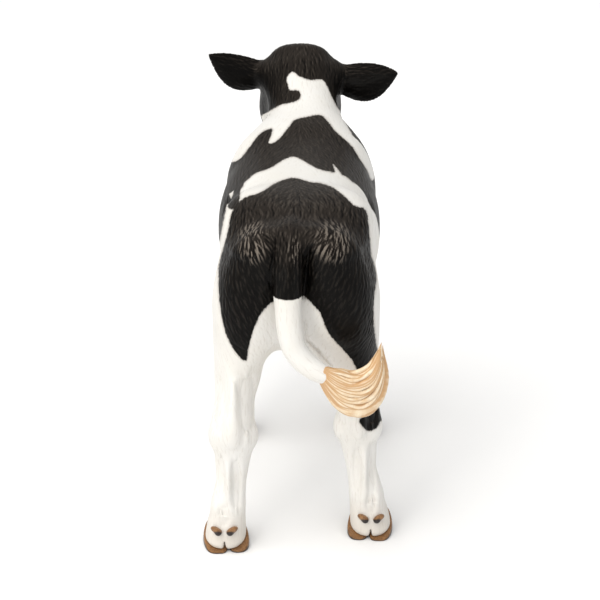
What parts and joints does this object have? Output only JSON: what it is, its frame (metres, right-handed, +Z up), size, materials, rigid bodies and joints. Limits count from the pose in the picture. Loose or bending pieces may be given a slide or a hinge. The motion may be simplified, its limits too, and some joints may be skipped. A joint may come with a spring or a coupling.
{
  "type": "standing calf statue",
  "caption": "Life-size painted resin statue of a standing black-and-white dairy calf, tail swung to one side.",
  "frame": {"origin": "on the ground, under the middle of the statue's overall width and length", "axes": "+Z up, -Y is the way the calf faces, +X is the calf's left"},
  "size_m": [0.4754, 1.1898, 0.9592],
  "materials": {
    "coat_white": "white painted resin, satin, with carved hair",
    "coat_black": "black painted resin, satin, with carved hair",
    "hoof": "brown painted resin, darker towards the ground",
    "switch_hair": "tan painted resin with carved strands",
    "eye": "dark brown, high gloss"
  },
  "bodies": {
    "root": {"trunk_rump": "coat_black", "trunk_barrel": "coat_white", "trunk_shoulders": "coat_black", "neck": "coat_white", "head": "coat_black", "muzzle": "coat_white", "eye_left": "eye", "eye_right": "eye", "ear_left": "coat_black", "ear_right": "coat_black", "hind_left_thigh": "coat_white", "hind_left_hock": "coat_white", "hind_left_cannon": "coat_white", "hind_left_pastern": "coat_white", "hind_left_claw_outer": "hoof", "hind_left_claw_inner": "hoof", "hind_left_dewclaw_outer": "hoof", "hind_left_dewclaw_inner": "hoof", "hind_right_thigh": "coat_white", "hind_right_hock": "coat_white", "hind_right_cannon": "coat_white", "hind_right_pastern": "coat_white", "hind_right_claw_outer": "hoof", "hind_right_claw_inner": "hoof", "hind_right_dewclaw_outer": "hoof", "hind_right_dewclaw_inner": "hoof", "fore_left_forearm": "coat_white", "fore_left_knee": "coat_white", "fore_left_cannon": "coat_white", "fore_left_pastern": "coat_white", "fore_left_claw_outer": "hoof", "fore_left_claw_inner": "hoof", "fore_left_dewclaw_outer": "hoof", "fore_left_dewclaw_inner": "hoof", "fore_right_forearm": "coat_white", "fore_right_knee": "coat_white", "fore_right_cannon": "coat_white", "fore_right_pastern": "coat_white", "fore_right_claw_outer": "hoof", "fore_right_claw_inner": "hoof", "fore_right_dewclaw_outer": "hoof", "fore_right_dewclaw_inner": "hoof", "tail_dock": "coat_black", "tail_end": "coat_white", "tail_switch": "switch_hair"}
  },
  "joints": []
}
